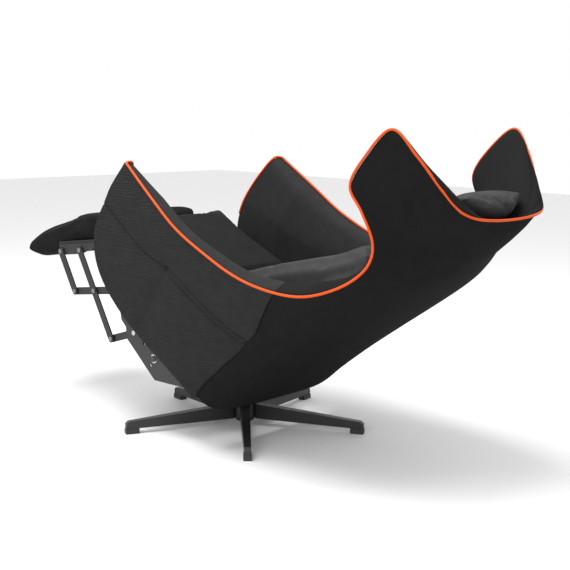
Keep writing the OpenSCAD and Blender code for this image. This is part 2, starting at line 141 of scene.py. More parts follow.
# ---------------------------------------------------------------------------
# Swivel frame. A sleeve on the spindle carries a flat plate and two cheeks,
# with sintered bronze bushes pressed in for the recline shaft.

bronze = speckled_finish(
    "bronze", (0.42, 0.26, 0.10, 1), (0.55, 0.36, 0.16, 1), 0.40, 1.0, orange_peel, 0.10, 0.0002)
paint(powder_coat, "swivel_sleeve", "swivel_plate", "recline_cheek_left", "recline_cheek_right")
paint(plated_steel, "thrust_washer")
paint(bronze, "recline_bushes")

# ---------------------------------------------------------------------------
# Seat frame. Laser-cut side plates tied by two tubes and the recline shaft.
# The plates and tubes are powder coated; shaft and pins are plated steel.

paint(powder_coat, "side_plate_left", "side_plate_right", "front_cross_tube", "rear_cross_tube")
paint(plated_steel, "recline_shaft", "rear_link_pins")
paint(black_oxide, "shaft_screws")

# ---------------------------------------------------------------------------
# Footrest linkage. Flat bars punched from strip and riveted to swing freely.
# The bars are painted before riveting, so the zinc rivet heads stay bare.

link_paint = speckled_finish(
    "link_paint", (0.004, 0.004, 0.0045, 1), (0.007, 0.007, 0.0075, 1), 0.5, 0.0, orange_peel, 0.25, 0.0004)
dull_zinc = speckled_finish(
    "dull_zinc", (0.16, 0.16, 0.165, 1), (0.26, 0.26, 0.265, 1), 0.48, 0.8, orange_peel, 0.10, 0.0002)
paint(link_paint, *[f"{bar}_{side}" for side in ("left", "right")
                     for bar in ("drive_link", "long_link", "front_link", "rear_link", "footrest_bracket")])
paint(plated_steel, "footrest_shaft")
paint(dull_zinc, "drive_link_pins", "long_link_pins", "front_link_pins")
paint(black_oxide, "footrest_screws")

# ---------------------------------------------------------------------------
# Boards. Birch plywood under the seat cushion, back cushion and footrest pad,
# with the long grain across. Seat and footrest boards are wrapped in dust cloth.

birch, birch_nodes, birch_links, birch_shader = new_finish("birch_ply")
birch_shader.inputs["Roughness"].default_value = 0.6
wood_place = birch_nodes.new("ShaderNodeTexCoord")
along_grain = birch_nodes.new("ShaderNodeMapping")
along_grain.inputs["Scale"].default_value = (3, 60, 60)
wood_noise = birch_nodes.new("ShaderNodeTexNoise")
wood_noise.inputs["Scale"].default_value = 3
wood_noise.inputs["Detail"].default_value = 4
birch_links.new(wood_place.outputs["Object"], along_grain.inputs["Vector"])
birch_links.new(along_grain.outputs["Vector"], wood_noise.inputs["Vector"])
two_tones(birch_nodes, birch_links, wood_noise.outputs["Fac"],
          (0.42, 0.29, 0.16, 1), (0.60, 0.45, 0.28, 1), birch_shader.inputs["Base Color"])
dust_cloth = speckled_finish(
    "dust_cloth", (0.010, 0.010, 0.011, 1), (0.016, 0.016, 0.017, 1), 0.85, 0.0, orange_peel, 0.30, 0.0003)
paint(birch, "back_support")
paint(dust_cloth, "seat_board", "footrest_board")

# ---------------------------------------------------------------------------
# Back cover. One piece of smooth fabric over foam, from under the seat up the
# back to the head wings, glued to a bent shell and rolled over its edge.

SWIVEL_TO_MIDDLE = 0.0441
# Outer middle line of the shell at each station, and its edge, from the arm fronts to the head.
SPINE = np.array([
    [60, 150], [80, 118], [95, 94], [145, 108], [215, 155], [320, 231], [430, 310], [530, 381], [610, 439],
    [670, 485], [705, 513], [735, 540], [762, 560], [788, 582], [812, 603], [831, 625], [839, 643],
    [843, 656]]) / 1000
EDGE = np.array([
    [-155, 752, 315], [-45, 672, 330], [65, 594, 340], [178, 538, 345], [280, 497, 348], [375, 476, 350],
    [470, 470, 347], [543, 483, 338], [604, 513, 308], [640, 555, 283], [639, 605, 267], [603, 672, 264],
    [568, 728, 264], [603, 792, 262], [680, 859, 266], [735, 803, 246], [778, 735, 214],
    [806, 692, 190]]) / 1000
# Half width low down, squareness of the lower corner, forward bulge of the arm.
SECTION = np.array([
    [292, 8, 232], [295, 8, 140], [294, 7, 65], [287, 5, 15], [275, 3.5, 0], [265, 2.8, 0], [255, 2.5, 0],
    [250, 2.3, 0], [240, 2.2, 0], [230, 2.2, 0], [220, 2.2, 0], [215, 2.3, 0], [205, 2.4, 0],
    [200, 2.5, 0], [195, 2.5, 0], [190, 2.5, 0], [180, 2.5, 0], [170, 2.4, 0]]) * [0.001, 1, 0.001]
LAST_STATION = len(SPINE) - 1
SIDE_START = 0.4
# Where the rear cover is sewn to the arm panel: place across, and station there.
SEAM_ACROSS = [0.40, 0.485, 0.56, 0.66, 0.85, 1.0]
SEAM_STATION = [2.0, 3.07, 3.95, 4.58, 5.04, 5.38]


def through(points, t):
    """Catmull-Rom curve: b(2f3-3f2+1) + (c-a)/2(f3-2f2+f) + c(3f2-2f3) + (d-b)/2(f3-f2) between b and c."""
    last = len(points) - 1
    i = np.clip(np.floor(t).astype(int), 0, last - 1)
    f = (t - i)[..., None]
    a, b = points[np.maximum(i - 1, 0)], points[i]
    c, d = points[i + 1], points[np.minimum(i + 2, last)]
    f2, f3 = f * f, f * f * f
    return (b * (2 * f3 - 3 * f2 + 1) + (c - a) / 2 * (f3 - 2 * f2 + f)
            + c * (3 * f2 - 2 * f3) + (d - b) / 2 * (f3 - f2))


def shell(u, v):
    """Outer surface. (1-up)^n + across^n = 1 in each section; x = base*across + (edge-base)*up^1.5;
    (y, z) = spine + (edge - spine)*up, with the arm bulged forward by bulge*sin(180 up^1.04)."""
    middle, edge, section = through(SPINE, u), through(EDGE, u), through(SECTION, u)
    base, n, bulge = section[..., 0], section[..., 1], section[..., 2]
    corner = 2 ** (-1 / n)
    size = np.minimum(np.abs(v), 1)
    on_side = size > SIDE_START
    f = np.where(on_side, (size - SIDE_START) / (1 - SIDE_START), size / SIDE_START)
    low_up = 1 - (1 - (corner * np.minimum(f, 1)) ** n) ** (1 / n)
    up = np.where(on_side, 1 - corner + corner * f, low_up)
    across = np.where(on_side, np.maximum(1 - (1 - up) ** n, 0) ** (1 / n), corner * f)
    x = base * across + (edge[..., 2] - base) * up ** 1.5
    forward = bulge * np.sin(np.pi * np.minimum(1, up ** 1.04))
    y = middle[..., 0] + (edge[..., 0] - middle[..., 0]) * up - forward - SWIVEL_TO_MIDDLE
    z = middle[..., 1] + (edge[..., 1] - middle[..., 1]) * up
    return np.stack([np.sign(v) * x, y, z], -1)


def unit(vectors):
    """Each vector over its own length."""
    return vectors / np.maximum(np.linalg.norm(vectors, axis=-1, keepdims=True), 1e-9)


def shell_along(u, v):
    """Unit direction of growing u on the shell."""
    return unit(shell(np.minimum(u + 0.05, LAST_STATION), v) - shell(np.maximum(u - 0.05, 0), v))


def shell_across(u, v):
    """Unit direction of growing v on the shell."""
    return unit(shell(u, np.minimum(v + 0.02, 1)) - shell(u, np.maximum(v - 0.02, -1)))


def shell_inward(u, v):
    """Unit normal into the padding: across x along."""
    return unit(np.cross(shell_across(u, v), shell_along(u, v)))


def ease(x):
    """3x2 - 2x3 from 0 to 1."""
    x = np.clip(x, 0, 1)
    return x * x * (3 - 2 * x)


SHELL_THICKNESS = 0.036
ARM_TOP_EXTRA = 0.024
WING_TAPER = 0.85


def shell_depth(u, v):
    """Padding: 36 mm, 24 mm more at the arm tops, thinning to the tips, the wings' edges and the head."""
    arm_top = np.clip((np.abs(v) - 0.6) / 0.25, 0, 1) * np.clip((8 - u) / 3, 0, 1)
    wing_edge = np.clip((np.abs(v) - 0.4) / 0.6, 0, 1) * np.clip((u - 7) / 3, 0, 1)
    ends = np.clip((u + 2) / 3, 0, 1) * np.clip((LAST_STATION + 0.7 - u) / 4, 0, 1)
    return (SHELL_THICKNESS + ARM_TOP_EXTRA * arm_top) * (1 - WING_TAPER * wing_edge) * ends


def seam_station(v):
    """Station of the sewn line between arm panel and rear cover at a place across."""
    return np.interp(np.abs(v), SEAM_ACROSS, SEAM_STATION)


def build_mesh(name, points, faces):
    """A mesh object from an array of points and a list of faces, shaded smooth, standing at the origin."""
    mesh = bpy.data.meshes.new(name)
    mesh.from_pydata(points.tolist(), [], faces)
    mesh.polygons.foreach_set("use_smooth", np.ones(len(mesh.polygons), bool))
    mesh.update()
    obj = bpy.data.objects.new(name, mesh)
    bpy.context.scene.collection.objects.link(obj)
    return obj


def grid_faces(rows, columns, first=0, closed=False):
    """Quads of a grid of rows x columns points numbered row by row; closed joins last column to first."""
    i = np.arange(rows - 1)[:, None]
    j = np.arange(columns if closed else columns - 1)[None, :]
    k = (j + 1) % columns
    a, b = i * columns + j, i * columns + k
    return np.stack([a, b, b + columns, a + columns], -1).reshape(-1, 4) + first


def groove(distance, depth, width):
    """A stitched groove: -depth * exp(-(distance/width)^2)."""
    return -depth * np.exp(-(distance / width) ** 2)


LINING_SHARE = 0.93
RIM_STEPS = 14


def lining(u, v, lift):
    """Inner surface: shell + inward * (depth + lift)."""
    return shell(u, v) + shell_inward(u, v) * (shell_depth(u, v) + lift(u, v))[..., None]


def rim_arc(start, u, v, lift):
    """Rolled top: p = start + (crest-start) sin(t)^0.5 + (end-crest)(1-cos(t)^0.5), from the piped
    edge nearly flat inwards to the crest above the lining, and down to the lining's top."""
    t = np.linspace(0, np.pi / 2, RIM_STEPS + 2)[None, 1:-1, None]
    start = start[:, None]
    crest = (shell(u, v) + shell_inward(u, v) * shell_depth(u, v)[..., None])[:, None]
    end = lining(u, v * LINING_SHARE, lift)[:, None]
    return start + (crest - start) * np.sin(t) ** 0.5 + (end - crest) * (1 - np.cos(t) ** 0.5)


def panel_loops(u, v, relief, lift, rim_sides):
    """Closed loops round a padded panel, one a row: out along the outer skin, over the rolled rims, back
    along the lining. u and v are (rows, columns) grids; rim_sides holds which ends of v roll over."""
    outer = shell(u, v) - shell_inward(u, v) * relief(u, v)[..., None]
    inner = lining(u, v * LINING_SHARE, lift)
    loops = [outer]
    if 1 in rim_sides:
        loops.append(rim_arc(outer[:, -1], u[:, -1], v[:, -1], lift))
    loops.append(inner[:, ::-1])
    if -1 in rim_sides:
        loops.append(rim_arc(outer[:, 0], u[:, 0], v[:, 0], lift)[:, ::-1])
    return np.concatenate(loops, 1)


def cap_points(loop, pairs, outward, height, layers):
    """Points over the end of a panel: rungs from one side of the loop to the other, raised by
    height * rung length * 2*sqrt(s(1-s)) along outward. Returns (rungs, layers, 3) inside points."""
    a, b = loop[pairs[:, 0]], loop[pairs[:, 1]]
    s = np.linspace(0, 1, layers + 2)[1:-1][None, :, None]
    length = np.linalg.norm(b - a, axis=-1)[:, None, None]
    return a[:, None] + (b - a)[:, None] * s + outward * height * length * 2 * np.sqrt(s * (1 - s))


def cap_faces(pairs, first, layers, flip):
    """Quads of a cap whose rungs end on loop points pairs, with its own points numbered from first."""
    inside = first + np.arange(len(pairs) * layers).reshape(len(pairs), layers)
    table = np.concatenate([pairs[:, :1], inside, pairs[:, 1:]], 1)
    faces = np.stack([table[:-1, :-1], table[1:, :-1], table[1:, 1:], table[:-1, 1:]], -1).reshape(-1, 4)
    return faces[:, ::-1] if flip else faces


REAR_ROWS, REAR_COLUMNS = 190, 181
v_row = np.linspace(-1, 1, REAR_COLUMNS)
station_share = np.linspace(0, 1, REAR_ROWS)[:, None]
rear_v = np.repeat(v_row[None, :], REAR_ROWS, 0)
rear_u = seam_station(rear_v) + (LAST_STATION - seam_station(rear_v)) * station_share


def rear_relief(u, v):
    """Soft foam: a groove at the sewn front line, a hollow under the wings, slight fullness in the middle."""
    to_seam = (u - seam_station(v)) * 0.10
    hollow = 0.006 * np.exp(-((u - 9.6) / 1.1) ** 2) * np.exp(-((np.abs(v) - 0.62) / 0.16) ** 2)
    full = 0.001 * np.sin(np.pi * np.clip((u - 3) / 13, 0, 1)) * (1 - v * v)
    rolled = -0.002 * ease((np.abs(v) - 0.985) / 0.015)
    return groove(to_seam, 0.0035, 0.006) + full - hollow + rolled


def rear_lift(u, v):
    """Lining puffed between its tufting: fuller along the wings and behind the neck."""
    wing = ease((np.abs(v) - 0.40) / 0.15) * (1 - ease((np.abs(v) - 0.60) / 0.25))
    return 0.006 * wing * np.sin(np.pi * np.clip((u - 5) / 11.5, 0, 1))


rear_loops = panel_loops(rear_u, rear_v, rear_relief, rear_lift, (-1, 1))
loop_size = rear_loops.shape[1]
rim_steps = (loop_size - 2 * REAR_COLUMNS) // 2
# Rungs join outer point j to the lining point above it; the rolled rims fold in halves.
j = np.arange(REAR_COLUMNS)
rungs = np.stack([j, 2 * REAR_COLUMNS + rim_steps - 1 - j], 1)
half = np.arange(rim_steps // 2)
right_rim = np.stack([REAR_COLUMNS + half, REAR_COLUMNS + rim_steps - 1 - half], 1)
left_first = 2 * REAR_COLUMNS + rim_steps
left_rim = np.stack([left_first + rim_steps - 1 - half, left_first + half], 1)[::-1]
rear_pairs = np.concatenate([left_rim, rungs, right_rim])
CAP_LAYERS = 5
HEAD_ROUNDNESS = 0.35
head_out = shell_along(np.full(REAR_COLUMNS, LAST_STATION), v_row)
head_out = [head_out[:1]] * len(left_rim) + [head_out] + [head_out[-1:]] * len(right_rim)
head_out = np.concatenate(head_out)[:, None]
points = rear_loops.reshape(-1, 3)
faces = [grid_faces(REAR_ROWS, loop_size, closed=True)[:, ::-1]]
last_loop = (REAR_ROWS - 1) * loop_size
head_cap = cap_points(rear_loops[-1], rear_pairs, head_out, HEAD_ROUNDNESS, CAP_LAYERS).reshape(-1, 3)
front_cap = cap_points(rear_loops[0], rear_pairs, 0 * head_out, 0, CAP_LAYERS).reshape(-1, 3)
faces.append(cap_faces(rear_pairs + last_loop, len(points), CAP_LAYERS, False))
faces.append(cap_faces(rear_pairs, len(points) + len(head_cap), CAP_LAYERS, True))
points = np.concatenate([points, head_cap, front_cap])
shell_cover = build_mesh("shell_cover", points, np.concatenate(faces).tolist())

weave_grain = grain_group("weave_grain", 900, 3, 0.38, 0.62)
slub_grain = grain_group("slub_grain", 26, 3, 0.30, 0.70)


def fabric(name, dark, light, roughness, sheen, specular):
    """Woven upholstery: fine weave with broad slow shading, and a little sheen."""
    material, parts, links, shader = new_finish(name)
    shader.inputs["Roughness"].default_value = roughness
    shader.inputs["Sheen Weight"].default_value = sheen
    shader.inputs["Sheen Roughness"].default_value = 0.5
    shader.inputs["Specular IOR Level"].default_value = specular
    place, weave = add_grain(parts, links, weave_grain)
    slub = parts.new("ShaderNodeGroup")
    slub.node_tree = slub_grain
    links.new(place.outputs["Object"], slub.inputs["Vector"])
    both = parts.new("ShaderNodeMath")
    both.operation = "MULTIPLY_ADD"
    both.inputs[1].default_value = 0.5
    links.new(weave.outputs["Mask"], both.inputs[0])
    halved = parts.new("ShaderNodeMath")
    halved.operation = "MULTIPLY"
    halved.inputs[1].default_value = 0.5
    links.new(slub.outputs["Mask"], halved.inputs[0])
    links.new(halved.outputs["Value"], both.inputs[2])
    two_tones(parts, links, both.outputs["Value"], dark, light, shader.inputs["Base Color"])
    add_bump(parts, links, weave.outputs["Height"], shader, 0.35, 0.0006)
    return material, parts, links, shader, place


# The outer skin is coloured darker than the rims and lining: painted shade over the rear and underside of the
# shell.
smooth_fabric, cover_nodes, cover_links, cover_shader, _ = fabric(
    "smooth_fabric", (0.0085, 0.0085, 0.009, 1), (0.012, 0.012, 0.0125, 1), 0.9, 0.0, 0.03)
lining_mask = cover_nodes.new("ShaderNodeAttribute")
lining_mask.attribute_name = "lining_not_shaded"
outer_colour = cover_shader.inputs["Base Color"].links[0].from_socket
outer_shade_mix = cover_nodes.new("ShaderNodeMix")
outer_shade_mix.data_type = "RGBA"
outer_shade_mix.inputs["B"].default_value = (0.012, 0.012, 0.0123, 1)
cover_links.new(lining_mask.outputs["Fac"], outer_shade_mix.inputs["Factor"])
cover_links.new(outer_colour, outer_shade_mix.inputs["A"])
cover_links.new(outer_shade_mix.outputs["Result"], cover_shader.inputs["Base Color"])
# Mask: 0 on the outer skin, which takes the painted shade; 1 on the rims, lining and ends, which keep the
# lighter colour.
lining_not_shaded = np.ones((REAR_ROWS, loop_size))
lining_not_shaded[:, :REAR_COLUMNS] = 0
cover_mask = np.concatenate([lining_not_shaded.ravel(), np.ones(len(head_cap) + len(front_cap))])
face_layer = shell_cover.data.attributes.new("lining_not_shaded", "FLOAT", "POINT")
face_layer.data.foreach_set("value", cover_mask.astype(np.float32))
shell_cover.data.materials.append(smooth_fabric)
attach(shell_cover, "seat_shell")
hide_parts("seat_bucket", "back_panel", "wing_left", "wing_right")

# ---------------------------------------------------------------------------
# Arm covers. Ribbed fabric outside in three sewn fields that meet at a dimple,
# and a plain padded band over the top and down the inside of each arm.

ARM_ROWS, ARM_COLUMNS = 200, 190
ARM_CAP_LAYERS = 7
# Roundness of the arm's front at its tip, and how much more it has lower down.
TIP_ROUNDNESS = 0.06
FRONT_ROUNDNESS = 0.26
# Sewn lines of the outer panel, each a list of (y, z) from the swivel axis, in metres.
UPPER_SEAM = [(-0.262, 0.645), (-0.236, 0.627), (-0.143, 0.562), (-0.071, 0.517), (0.018, 0.484)]
REAR_SEAM = [(0.018, 0.484), (0.10, 0.428), (0.18, 0.375), (0.262, 0.325)]
LOWER_SEAM = [(0.018, 0.484), (-0.030, 0.418), (-0.070, 0.363), (-0.098, 0.324)]
DIMPLE = (0.018, 0.484)


def line_distance(y, z, line):
    """Shortest distance from each (y, z) to a broken line."""
    best = np.full(y.shape, 9.0)
    for (y0, z0), (y1, z1) in zip(line[:-1], line[1:]):
        dy, dz = y1 - y0, z1 - z0
        t = np.clip(((y - y0) * dy + (z - z0) * dz) / (dy * dy + dz * dz), 0, 1)
        best = np.minimum(best, np.hypot(y - y0 - t * dy, z - z0 - t * dz))
    return best


def arm_relief(u, v):
    """Sewn fields: pull-in at the seams and the dimple, a raised double seam behind, fullness between."""
    place = shell(u, v)
    y, z = place[..., 1] + SWIVEL_TO_MIDDLE, place[..., 2]
    upper, rear, lower = (line_distance(y, z, line) for line in (UPPER_SEAM, REAR_SEAM, LOWER_SEAM))
    nearest = np.minimum(np.minimum(upper, rear), lower * 1.4)
    pulled = groove(upper, 0.0050, 0.0035) + groove(lower, 0.0010, 0.004)
    ridge = 0.0026 * np.exp(-(rear / 0.0035) ** 2) + groove(rear - 0.008, 0.0032, 0.003)
    dimple = groove(np.hypot(y - DIMPLE[0], z - DIMPLE[1]), 0.0045, 0.011)
    full = 0.005 * (1 - np.exp(-(nearest / 0.045) ** 2)) * ease((1 - np.abs(v)) / 0.10)
    to_seam = (seam_station(v) - u) * 0.10
    return pulled + ridge + dimple + full + groove(to_seam, 0.0035, 0.006)


def arm_lift(u, v):
    """Inner side of the arm: one long soft roll under the top, then a shallow valley."""
    roll = np.exp(-((np.abs(v) - 0.88) / 0.09) ** 2) * ease(u / 1.2) * (1 - ease((u - 4.4) / 1.2))
    return 0.008 * roll


def arm_cover(name, side):
    """One arm's closed cover over stations 0 to the rear seam and places 0.4 to 1 across."""
    v_line = side * np.linspace(SIDE_START, 1, ARM_COLUMNS)
    v = np.repeat((v_line if side > 0 else v_line[::-1])[None, :], ARM_ROWS, 0)
    u = seam_station(v) * np.linspace(0, 1, ARM_ROWS)[:, None]
    loops = panel_loops(u, v, arm_relief, arm_lift, (1,) if side > 0 else (-1,))
    size = loops.shape[1]
    rim = size - 2 * ARM_COLUMNS
    column, fold = np.arange(ARM_COLUMNS), np.arange(rim // 2)
    if side > 0:
        ends = np.stack([column, size - 1 - column], 1)
        rolled = np.stack([ARM_COLUMNS + fold, ARM_COLUMNS + rim - 1 - fold], 1)
        pairs = np.concatenate([ends, rolled])
    else:
        ends = np.stack([column, 2 * ARM_COLUMNS - 1 - column], 1)
        rolled = np.stack([size - 1 - fold, 2 * ARM_COLUMNS + fold], 1)[::-1]
        pairs = np.concatenate([rolled, ends])
    out = -shell_along(u[0], v[0])
    rim_places = np.ones(len(rolled))
    if side > 0:
        out = np.concatenate([out] + [out[-1:]] * len(rolled))[:, None]
        places = np.concatenate([np.abs(v[0]), rim_places])
    else:
        out = np.concatenate([out[:1]] * len(rolled) + [out])[:, None]
        places = np.concatenate([rim_places, np.abs(v[0])])
    body = loops.reshape(-1, 3)
    roundness = (TIP_ROUNDNESS + FRONT_ROUNDNESS * ease((1 - places) / 0.35))[:, None, None]
    front = cap_points(loops[0], pairs, out, roundness, ARM_CAP_LAYERS).reshape(-1, 3)
    back = cap_points(loops[-1], pairs, 0 * out, 0, ARM_CAP_LAYERS).reshape(-1, 3)
    last_pairs = pairs + (ARM_ROWS - 1) * size
    quads = [grid_faces(ARM_ROWS, size, closed=True)[:, ::-1],
             cap_faces(pairs, len(body), ARM_CAP_LAYERS, True),
             cap_faces(last_pairs, len(body) + len(front), ARM_CAP_LAYERS, False)]
    cover = build_mesh(name, np.concatenate([body, front, back]), np.concatenate(quads).tolist())
    # 1 on the outer panel, 0 on the rolled top, the lining and the front.
    outer = np.zeros((ARM_ROWS, size))
    outer[:, :ARM_COLUMNS] = 1
    mask = np.concatenate([outer.ravel(), np.zeros(len(front) + len(back))])
    layer = cover.data.attributes.new("outer_panel", "FLOAT", "POINT")
    layer.data.foreach_set("value", mask.astype(np.float32))
    cover.data.materials.append(arm_fabric)
    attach(cover, "seat_shell")
    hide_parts(name.replace("_cover", ""))
    return cover


# The ribs run level, about 8 mm apart, each wandering a little and fading in and out.
arm_fabric, arm_nodes, arm_links, arm_shader, arm_place = fabric(
    "arm_fabric", (0.016, 0.016, 0.0165, 1), (0.023, 0.023, 0.0235, 1), 0.9, 0.01, 0.05)
RIB_PITCH = 0.0075
rib_stretch = arm_nodes.new("ShaderNodeMapping")
rib_stretch.inputs["Scale"].default_value = (6, 6, 26)
rib_wander = arm_nodes.new("ShaderNodeTexNoise")
rib_wander.inputs["Scale"].default_value = 2.2
rib_wander.inputs["Detail"].default_value = 3
rib_parts = arm_nodes.new("ShaderNodeSeparateXYZ")
rib_phase = arm_nodes.new("ShaderNodeMath")
rib_phase.operation = "MULTIPLY_ADD"
rib_phase.inputs[1].default_value = 2 * math.pi / RIB_PITCH
rib_shift = arm_nodes.new("ShaderNodeMath")
rib_shift.operation = "MULTIPLY"
rib_shift.inputs[1].default_value = 14.0
rib_wave = arm_nodes.new("ShaderNodeMath")
rib_wave.operation = "SINE"
rib_fade = arm_nodes.new("ShaderNodeAttribute")
rib_fade.attribute_name = "outer_panel"
rib_height = arm_nodes.new("ShaderNodeMath")
rib_height.operation = "MULTIPLY"
arm_links.new(arm_place.outputs["Object"], rib_stretch.inputs["Vector"])
arm_links.new(rib_stretch.outputs["Vector"], rib_wander.inputs["Vector"])
arm_links.new(arm_place.outputs["Object"], rib_parts.inputs["Vector"])
arm_links.new(rib_wander.outputs["Fac"], rib_shift.inputs[0])
arm_links.new(rib_parts.outputs["Z"], rib_phase.inputs[0])
arm_links.new(rib_shift.outputs["Value"], rib_phase.inputs[2])
arm_links.new(rib_phase.outputs["Value"], rib_wave.inputs[0])
arm_links.new(rib_wave.outputs["Value"], rib_height.inputs[0])
arm_links.new(rib_fade.outputs["Fac"], rib_height.inputs[1])
rib_bump = arm_nodes.new("ShaderNodeBump")
rib_bump.inputs["Strength"].default_value = 0.9
rib_bump.inputs["Distance"].default_value = 0.0009
weave_bump = next(n for n in arm_nodes if n.type == "BUMP" and n != rib_bump)
arm_links.new(rib_height.outputs["Value"], rib_bump.inputs["Height"])
arm_links.new(weave_bump.outputs["Normal"], rib_bump.inputs["Normal"])
arm_links.new(rib_bump.outputs["Normal"], arm_shader.inputs["Normal"])
arm_cover("arm_left_cover", 1)
arm_cover("arm_right_cover", -1)

# ---------------------------------------------------------------------------
# Edge piping. An orange cord sewn in a bias-cut sleeve along the whole rim,
# from the tip of one arm, round the back and head, to the tip of the other.

PIPING_RADIUS = 0.0031
PIPING_SIDES = 12
# The cord's centre stands this far off the edge that it is sewn to.
PIPING_OFFSET = PIPING_RADIUS * 1.02
SIDE_RINGS, HEAD_RINGS, FRONT_RINGS = 360, 90, 40


def tube(name, route, radius, sides):
    """A round tube: p = route + radius (cos k d + sin k e), d kept square to the route from ring to ring."""
    heading = unit(np.gradient(route, axis=0))
    aside = [unit(np.cross(heading[0], [1, 0, 0.3]))]
    for h in heading[1:]:
        aside.append(unit(aside[-1] - (aside[-1] @ h) * h))
    d = np.array(aside)[:, None]
    e = np.cross(heading, np.array(aside))[:, None]
    angle = np.linspace(0, 2 * np.pi, sides, endpoint=False)[None, :, None]
    rings = route[:, None] + radius * (np.cos(angle) * d + np.sin(angle) * e)
    ends = np.stack([route[0] - heading[0] * radius * 0.7, route[-1] + heading[-1] * radius * 0.7])
    body = rings.reshape(-1, 3)
    quads = grid_faces(len(route), sides, closed=True)
    k = np.arange(sides)
    start_fan = np.stack([(k + 1) % sides, k, np.full(sides, len(body))], 1)
    last = (len(route) - 1) * sides
    end_fan = np.stack([last + k, last + (k + 1) % sides, np.full(sides, len(body) + 1)], 1)
    all_faces = quads.tolist() + start_fan.tolist() + end_fan.tolist()
    return build_mesh(name, np.concatenate([body, ends]), all_faces)


def rim_line(u, v, side):
    """Centre of the piping beside the rim: just above the outer edge."""
    return shell(u, v) + side * PIPING_OFFSET * shell_across(u, v)


side_u = np.linspace(0.02, LAST_STATION - 0.25, SIDE_RINGS)
left_side = rim_line(side_u, np.full(SIDE_RINGS, 1.0), 1)
right_side = rim_line(side_u, np.full(SIDE_RINGS, -1.0), -1)
head_v = np.linspace(0.92, -0.92, HEAD_RINGS)
head_u = np.full(HEAD_RINGS, float(LAST_STATION))
over_head = shell(head_u, head_v) + PIPING_OFFSET * shell_along(head_u, head_v)


def arm_front(side):
    """From high on the arm's inner front edge up to its top, then outwards over the tip to the rim."""
    places = side * np.linspace(0.80, LINING_SHARE, FRONT_RINGS)
    zero = np.zeros(FRONT_RINGS)
    up_front = lining(zero, places, arm_lift) - PIPING_OFFSET * shell_along(zero, places)
    tip = np.array([0.0]), np.array([float(side)])
    over = rim_arc(shell(*tip), *tip, arm_lift)[0, ::-1] - PIPING_OFFSET * shell_along(*tip)
    return np.concatenate([up_front, over[:-1] + side * PIPING_RADIUS * shell_across(*tip)])


sewn_route = np.concatenate(
    [arm_front(1), left_side, over_head, right_side[::-1], arm_front(-1)[::-1]])
# Each point becomes a weighted mean of itself and two on each side, so the cord bends evenly.
kernel = np.array([1, 2, 3, 2, 1]) / 9
sewn_route = np.pad(sewn_route, ((2, 2), (0, 0)), "edge")
piping_route = np.stack([np.convolve(sewn_route[:, axis], kernel, "valid") for axis in range(3)], 1)
piping = tube("piping", piping_route, PIPING_RADIUS, PIPING_SIDES)

orange_cord, cord_nodes, cord_links, cord_shader = new_finish("orange_cord")
cord_shader.inputs["Roughness"].default_value = 0.6
cord_shader.inputs["Specular IOR Level"].default_value = 0.15
cord_shader.inputs["Sheen Weight"].default_value = 0.03
cord_shader.inputs["Sheen Roughness"].default_value = 0.5
_, cord_grain = add_grain(cord_nodes, cord_links, weave_grain)
two_tones(cord_nodes, cord_links, cord_grain.outputs["Mask"],
          (0.50, 0.052, 0.002, 1), (0.62, 0.074, 0.004, 1), cord_shader.inputs["Base Color"])
add_bump(cord_nodes, cord_links, cord_grain.outputs["Height"], cord_shader, 0.3, 0.0004)
piping.data.materials.append(orange_cord)
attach(piping, "seat_shell")
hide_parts("edge_piping")

# ---------------------------------------------------------------------------
# Seat cushion. A foam block in a sewn cover with a top panel, a side band and
# a sewn line all round where they meet. It rests on the board and crowns.

SEAT_FRONT = np.array([-0.337 - SWIVEL_TO_MIDDLE, 0.602])
SEAT_SLOPE = math.radians(27.7)
CLOTH_FRAMES = 20


def coordinates(mesh):
    """The mesh's points as an array."""
    flat = np.empty(len(mesh.vertices) * 3, np.float32)
    mesh.vertices.foreach_get("co", flat)
    return flat.reshape(-1, 3).astype(float)


def move_to(mesh, points):
    """Puts the mesh's points at new places."""
    mesh.vertices.foreach_set("co", points.astype(np.float32).ravel())
    mesh.update()


def point_normals(mesh):
    """The mesh's outward normal at each point, as an array."""
    flat = np.empty(len(mesh.vertices) * 3, np.float32)
    mesh.vertices.foreach_get("normal", flat)
    return flat.reshape(-1, 3).astype(float)


def baked(obj):
    """The object's mesh with its modifiers applied, in place of its old one."""
    graph = bpy.context.evaluated_depsgraph_get()
    mesh = bpy.data.meshes.new_from_object(obj.evaluated_get(graph))
    obj.modifiers.clear()
    obj.data = mesh
    return mesh


